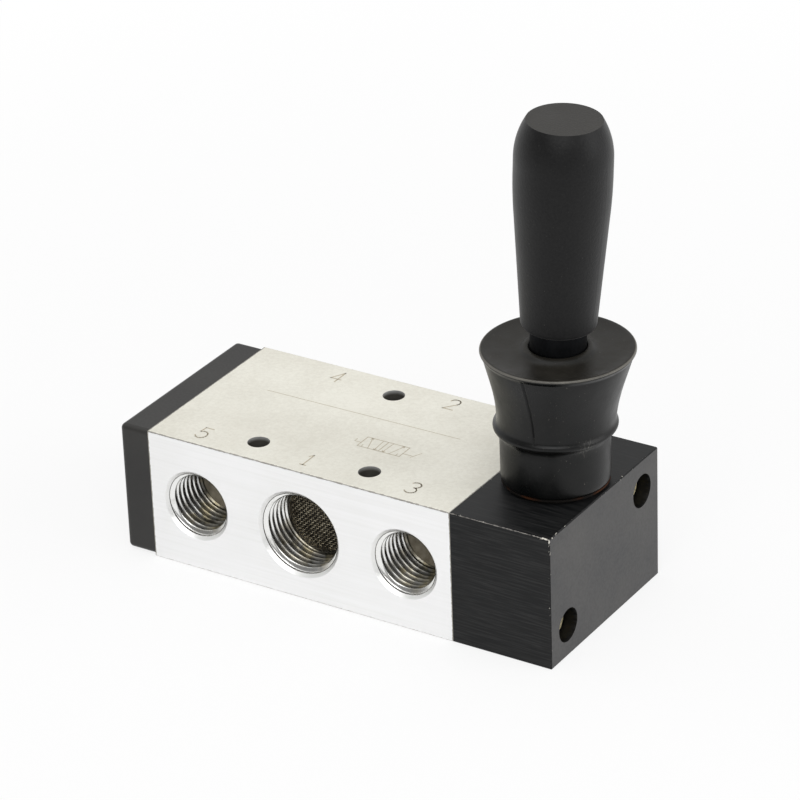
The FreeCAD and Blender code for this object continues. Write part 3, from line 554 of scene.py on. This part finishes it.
def thread_radius(depth, turn, major, full_depth):
    """Radius of a pipe thread at a depth below the port's face and a share of a turn. Its
    height grows from nothing at the mouth, and its root closes in at the end."""
    height = thread_height(depth / THREAD_PITCH - turn)
    height *= min((depth - PORT_MOUTH) / (THREAD_START * THREAD_PITCH), 1)
    full = min(max((full_depth - depth) / (THREAD_END * THREAD_PITCH), 0), 1)
    return major - THREAD_CLEARANCE - THREAD_HEIGHT - (height - THREAD_HEIGHT) * full


def port_thread(name, x, side, major, full_depth, material):
    """The thread of a port on the front (side -1) or back (side 1) face."""
    around, rows_per_pitch = 72, 13
    rows = math.ceil((full_depth - PORT_MOUTH) / THREAD_PITCH * rows_per_pitch) + 1
    points = []
    for row in range(rows):
        depth = PORT_MOUTH + (full_depth - PORT_MOUTH) * row / (rows - 1)
        for step in range(around):
            turn = step / around
            radius = thread_radius(depth, turn, major, full_depth)
            angle = 2 * math.pi * turn * -side
            along = side * (FACE_Y - depth)
            across, up = radius * math.cos(angle), radius * math.sin(angle)
            points.append((x + across, along, AXIS_Z + up))
    faces = grid_faces(rows, around, flip=True)
    new_piece(name, points, faces, material, "block")


def woven_screen(material):
    """Woven wire mesh in the supply port, over the plain disc."""
    radius = SCREEN_RADIUS - SCREEN_CLEARANCE
    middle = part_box("inlet_screen")[0].y / MM
    count = int(radius / WIRE_PITCH)
    points, faces = [], []
    for across in (True, False):
        for line in range(-count, count + 1):
            offset = line * WIRE_PITCH
            reach = math.sqrt(radius**2 - offset**2)
            steps = int(reach / WIRE_PITCH) * 2
            first = len(points)
            for step in range(-steps, steps + 1):
                along = step * WIRE_PITCH / 2
                phase = math.pi * (along / WIRE_PITCH + line + (0 if across else 1))
                rise = WIRE_RADIUS * math.cos(phase)
                for corner in range(WIRE_CORNERS):
                    angle = 2 * math.pi / WIRE_CORNERS * corner
                    beside = offset + WIRE_RADIUS * math.cos(angle)
                    out = middle + rise + WIRE_RADIUS * math.sin(angle)
                    x, z = (along, beside) if across else (beside, along)
                    points.append((x, out, AXIS_Z + z))
            for quad in grid_faces(2 * steps + 1, WIRE_CORNERS):
                faces.append(tuple(first + index for index in quad))
    new_piece("inlet_mesh", points, faces, material, "block")


def boot_profile():
    """Outline of the boot's section, outside up and then inside down, as radius and height."""
    outside = [
        (8.55, 28.1),
        (9.9, 28.1),
        (10.12, 28.35),
        (10.15, 30.0),
        (10.15, 36.8),
        (10.25, 37.5),
        (10.7, 38.0),
        (11.25, 38.35),
        (11.5, 38.85),
        (11.42, 39.35),
        (11.1, 39.7),
        (10.95, 40.1),
        (10.95, 40.8),
        (11.05, 42.2),
        (11.3, 44.0),
        (11.75, 46.2),
        (12.4, 48.6),
        (13.1, 51.0),
        (13.5, 52.4),
        (13.64, 53.0),
        (13.7, 53.25),
        (13.76, 53.34),
        (14.12, 53.88),
        (14.18, 53.98),
        (14.2, 54.12),
        (14.12, 54.38),
        (13.8, 54.5),
        (13.35, 54.42),
        (12.6, 54.2),
        (11.0, 53.95),
        (9.2, 53.8),
        (7.9, 53.8),
        (7.2, 53.95),
        (6.7, 54.3),
        (6.3, 54.65),
        (5.9, 54.8),
        (5.5, 54.75),
        (5.22, 54.68),
    ]
    inside = [
        (5.2, 53.0),
        (6.5, 52.6),
        (11.6, 52.5),
        (12.0, 52.0),
        (10.6, 47.0),
        (9.6, 43.0),
        (9.4, 40.6),
        (8.7, 40.1),
        (8.55, 39.6),
    ]
    return outside + inside


def boot_drift(height):
    """How far the boot's middle follows the lever at a height."""
    share = min(max((height - BEND_START) / (BOOT_TOP - BEND_START), 0), 1)
    return (BOOT_TOP - PIVOT_Z) * LEVER_SLOPE * math.sqrt(share)


def seam_angles():
    """Angles round the boot from one mould seam, closer together at both seams."""
    close = (0.0, 0.009, 0.018, 0.03, 0.045)
    first, steps = 0.08, 64
    regular = [first + (math.pi - 2 * first) * step / steps for step in range(steps + 1)]
    half = list(close) + regular + [math.pi - angle for angle in reversed(close[1:])]
    return half + [math.pi + angle for angle in half]


def seam_height(angle, radius):
    """Height of the mould seam's ridge, with a fine parting groove along its middle."""
    ridge, ridge_width = 0.1, 0.42
    groove, groove_width = 0.42, 0.17
    along = ((angle + math.pi / 2) % math.pi - math.pi / 2) * radius
    raised = ridge * math.exp(-((along / ridge_width) ** 2))
    return raised - groove * math.exp(-((along / groove_width) ** 2))


def seam_share(radius, height):
    """1 where the boot's seam is whole: on the cup's outside, from its foot to its rim."""
    if radius <= SEAM_RADIUS or height >= SEAM_TOP:
        return 0
    return min(max((height - SEAM_FOOT) / SEAM_FADE, 0), 1)


def rubber_boot(material):
    """The boot with its mould seam, bending from the block to the lever."""
    section = boot_profile()
    angles = seam_angles()
    points = []
    for radius, height in section:
        swing = SEAM_TURN + SEAM_SLANT * (BOOT_TOP - height)
        share = seam_share(radius, height)
        for angle in angles:
            out = radius + share * seam_height(angle, radius)
            x = LEVER_X + boot_drift(height) + out * math.cos(angle + swing)
            points.append((x, out * math.sin(angle + swing), height))
    faces = grid_faces(len(section), len(angles), closed_rows=True)
    piece = new_piece("rubber_boot", points, faces, material, None)
    smooth = piece.modifiers.new("smooth", "SUBSURF")
    smooth.levels = smooth.render_levels = 1
    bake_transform(piece)
    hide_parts("boot")


# Marks on the top face: flat strokes a little above the metal

def stroke(points, width=0.28, closed=False):
    """Points and faces of a flat line through the points, in the top face's x and y."""
    corners, faces = [], []
    spans = list(zip(points, points[1:] + points[:1] if closed else points[1:]))
    for (x0, y0), (x1, y1) in spans:
        length = math.hypot(x1 - x0, y1 - y0)
        out_x = (x1 - x0) / length * width / 2
        out_y = (y1 - y0) / length * width / 2
        first = len(corners)
        corners += [
            (x0 - out_x + out_y, y0 - out_y - out_x),
            (x1 + out_x + out_y, y1 + out_y - out_x),
            (x1 + out_x - out_y, y1 + out_y + out_x),
            (x0 - out_x - out_y, y0 - out_y + out_x),
        ]
        faces.append((first, first + 1, first + 2, first + 3))
    return corners, faces


def marks(name, strokes, material):
    """One flat piece of several strokes on the body's top face."""
    points, faces = [], []
    for corners, quads in strokes:
        first = len(points)
        points += [(x, y, BODY_TOP + MARK_LIFT) for x, y in corners]
        faces += [tuple(first + index for index in quad) for quad in quads]
    new_piece(name, points, faces, material, "block")


def arc(x, y, radius_x, radius_y, start, end):
    """Points along a stretch of an ellipse, in degrees."""
    steps = 10
    points = []
    for step in range(steps + 1):
        angle = math.radians(start + (end - start) * step / steps)
        points.append((x + radius_x * math.cos(angle), y + radius_y * math.sin(angle)))
    return points


def digit(number, x, y):
    """Strokes of a port number 2.1 mm wide and 4 mm high about x, y."""
    wide, top = 1.05, 2.0
    upper_three = arc(-0.05, 1.0, wide, 1.0, 150, -80)
    lower_three = arc(-0.05, -0.95, wide + 0.1, 1.05, 85, -150)
    lower_five = arc(-0.05, -0.7, wide + 0.1, 1.3, 130, -150)
    shapes = {
        1: [[(-0.5, 1.3), (0.1, top), (0.1, -top)], [(-0.5, -top), (0.7, -top)]],
        2: [arc(0, 0.95, wide, 1.05, 165, -35) + [(-wide, -top), (wide, -top)]],
        3: [upper_three, lower_three],
        4: [[(0.4, -top), (0.4, top), (-1.15, -0.8), (wide, -0.8)]],
        5: [[(0.95, top), (-0.75, top), (-0.9, 0.35)] + lower_five],
    }
    lines = []
    for shape in shapes[number]:
        lines.append(stroke([(x + across, y + up) for across, up in shape]))
    return lines


def arrow(start, end):
    """Strokes of a thin arrow."""
    head, head_turn = 0.55, 2.6
    (x0, y0), (x1, y1) = start, end
    angle = math.atan2(y1 - y0, x1 - x0)
    tips = []
    for turn in (head_turn, -head_turn):
        tips.append((x1 + head * math.cos(angle + turn), y1 + head * math.sin(angle + turn)))
    return [stroke([start, end], FINE_MARK), stroke([tips[0], end, tips[1]], FINE_MARK)]


def valve_symbol(x, y):
    """The usual drawing of a valve with five ports and two positions, worked by a lever."""
    half, high = 4.6, 1.9
    left, right = x - half, x + half
    low, top = y - high, y + high
    box_width = 0.18
    box = [(left, low), (right, low), (right, top), (left, top)]
    lines = [stroke(box, box_width, closed=True), stroke([(x, low), (x, top)], box_width)]
    for side in (-1, 1):
        middle = x + side * half / 2
        lines += arrow((middle, low), (middle + side * 1.2, top))
        lines += arrow((middle - side * 1.2, top), (middle - side * 1.4, low))
        closed_port = middle + side * 1.5
        lines.append(stroke([(closed_port, low), (closed_port, y - 1.1)], FINE_MARK))
    lever = right + 2.0
    lines.append(stroke([(right, y - 0.6), (lever, y - 0.6)], FINE_MARK))
    lines.append(stroke([(lever, y - 1.2), (right + 3.1, y + 1.1)], FINE_MARK))
    detent = left - 1.4
    lines.append(stroke([(left, y - 0.5), (detent, y - 0.5), (detent, y + 0.4)], FINE_MARK))
    return lines


def top_marks(material):
    """Port numbers, the valve's symbol and the thin line beside them."""
    places = {
        4: (-13.5, 15.75),
        2: (11.85, 16.4),
        5: (-23.35, -15.6),
        1: (-0.25, -15.25),
        3: (22.6, -15.1),
    }
    for number, (x, y) in places.items():
        marks(f"port_number_{number}", digit(number, x, y), material)
    marks("rule_line", [stroke([(-22.5, 4.7), (20.25, 5.1)], FINE_MARK)], material)
    marks("valve_symbol", valve_symbol(9.3, -4.2), material)


def build_pieces():
    thread = thread_metal()
    for name, x, side, major, depth in (
        ("thread_supply", 0.0, -1, LARGE_PORT, INLET_DEPTH),
        ("thread_exhaust_5", -23.0, -1, SMALL_PORT, PORT_DEPTH),
        ("thread_exhaust_3", 23.0, -1, SMALL_PORT, PORT_DEPTH),
        ("thread_work_4", -11.5, 1, LARGE_PORT, PORT_DEPTH),
        ("thread_work_2", 11.5, 1, LARGE_PORT, PORT_DEPTH),
    ):
        port_thread(name, x, side, major, depth, thread)
    woven_screen(mesh_wire())
    rubber_boot(boot_rubber())
    top_marks(marking_paint())


# Floor, light and camera

def white_floor():
    """A wide pale floor that shows as white, and keeps a soft shadow of the valve."""
    half, height = 6.0, -0.05 * MM
    mesh = bpy.data.meshes.new("floor")
    corners = [(-half, -half), (half, -half), (half, half), (-half, half)]
    mesh.from_pydata([(x, y, height) for x, y in corners], [], [(0, 1, 2, 3)])
    floor = bpy.data.objects.new("floor", mesh)
    bpy.context.scene.collection.objects.link(floor)
    surface = Surface("floor", (0.9, 0.9, 0.9, 1), 0.9, specular=0.0)
    surface.bump(surface.noise(300, detail=2), 0.01, 0.1)
    glow = surface.add("ShaderNodeEmission", {"Color": (1, 1, 1, 1), "Strength": 1.0})
    rays = surface.add("ShaderNodeLightPath").outputs
    seen = surface.math("MAXIMUM", rays["Is Camera Ray"], rays["Is Glossy Ray"])
    seen = surface.math("MAXIMUM", seen, rays["Is Transmission Ray"])
    shadow = surface.math("MULTIPLY", surface.near((5, 0, 0), 110, 300), 0.2)
    white = surface.math("MULTIPLY", seen, surface.math("SUBTRACT", 1.0, shadow))
    blend = surface.add("ShaderNodeMixShader", {"Fac": white})
    surface.give(blend.inputs[1], surface.shader.outputs["BSDF"])
    surface.give(blend.inputs[2], glow.outputs["Emission"])
    output = surface.tree.nodes["Material Output"]
    surface.give(output.inputs["Surface"], blend.outputs["Shader"])
    mesh.materials.append(surface.material)


def soft_box(name, place, size, watts):
    """An area lamp at a place in metres, turned towards the valve."""
    lamp = bpy.data.lights.new(name, "AREA")
    lamp.shape = "RECTANGLE"
    lamp.size, lamp.size_y = size
    lamp.energy = watts
    holder = bpy.data.objects.new(name, lamp)
    holder.location = place
    aim = Vector(LAMP_TARGET) - Vector(place)
    holder.rotation_euler = aim.to_track_quat("-Z", "Y").to_euler()
    bpy.context.scene.collection.objects.link(holder)


def light_the_scene():
    """A white room and three lamps. On the object the room shines weaker, and its mirrored
    image is dim low in front; straight views of it are white."""
    world = bpy.data.worlds.new("studio")
    world.use_nodes = True
    tree = world.node_tree
    background = tree.nodes["Background"]
    background.inputs["Color"].default_value = (1, 1, 1, 1)

    def ranged(value, low, high, start, end):
        made = tree.nodes.new("ShaderNodeMapRange")
        tree.links.new(value, made.inputs["Value"])
        ends = {"From Min": low, "From Max": high, "To Min": start, "To Max": end}
        for name, number in ends.items():
            socket = made.inputs[name]
            if isinstance(number, bpy.types.NodeSocket):
                tree.links.new(number, socket)
            else:
                socket.default_value = number
        return made.outputs["Result"]

    direction = tree.nodes.new("ShaderNodeTexCoord").outputs["Generated"]
    parts = tree.nodes.new("ShaderNodeSeparateXYZ")
    tree.links.new(direction, parts.inputs["Vector"])
    lit, bright, dim = 0.45, 0.85, 0.22
    sideways = ranged(parts.outputs["Y"], -0.75, -0.2, dim, bright)
    mirrored = ranged(parts.outputs["Z"], 0.6, 0.8, sideways, bright)
    rays = tree.nodes.new("ShaderNodeLightPath").outputs
    strength = ranged(rays["Is Glossy Ray"], 0.0, 1.0, lit, mirrored)
    strength = ranged(rays["Is Transmission Ray"], 0.0, 1.0, strength, 1.0)
    strength = ranged(rays["Is Camera Ray"], 0.0, 1.0, strength, 1.0)
    tree.links.new(strength, background.inputs["Strength"])
    bpy.context.scene.world = world
    soft_box("front", (0.5, -1.1, 1.1), (1.4, 1.1), 13)
    soft_box("right", (1.2, 0.3, 0.5), (0.8, 1.1), 6)
    soft_box("top", (-0.1, -0.1, 1.3), (1.2, 1.2), 4.2)


def place_camera():
    camera = bpy.data.cameras.new("camera")
    camera.sensor_width = SENSOR
    camera.lens = CAMERA_LENS
    camera.clip_start, camera.clip_end = 0.01, 20
    holder = bpy.data.objects.new("camera", camera)
    holder.location = Vector(CAMERA_PLACE) * MM
    holder.rotation_euler = [math.radians(turn) for turn in CAMERA_TURN]
    bpy.context.scene.collection.objects.link(holder)
    bpy.context.scene.camera = holder


dress_nodes()
build_pieces()
white_floor()
light_the_scene()
place_camera()
bpy.context.scene.view_settings.view_transform = "Standard"
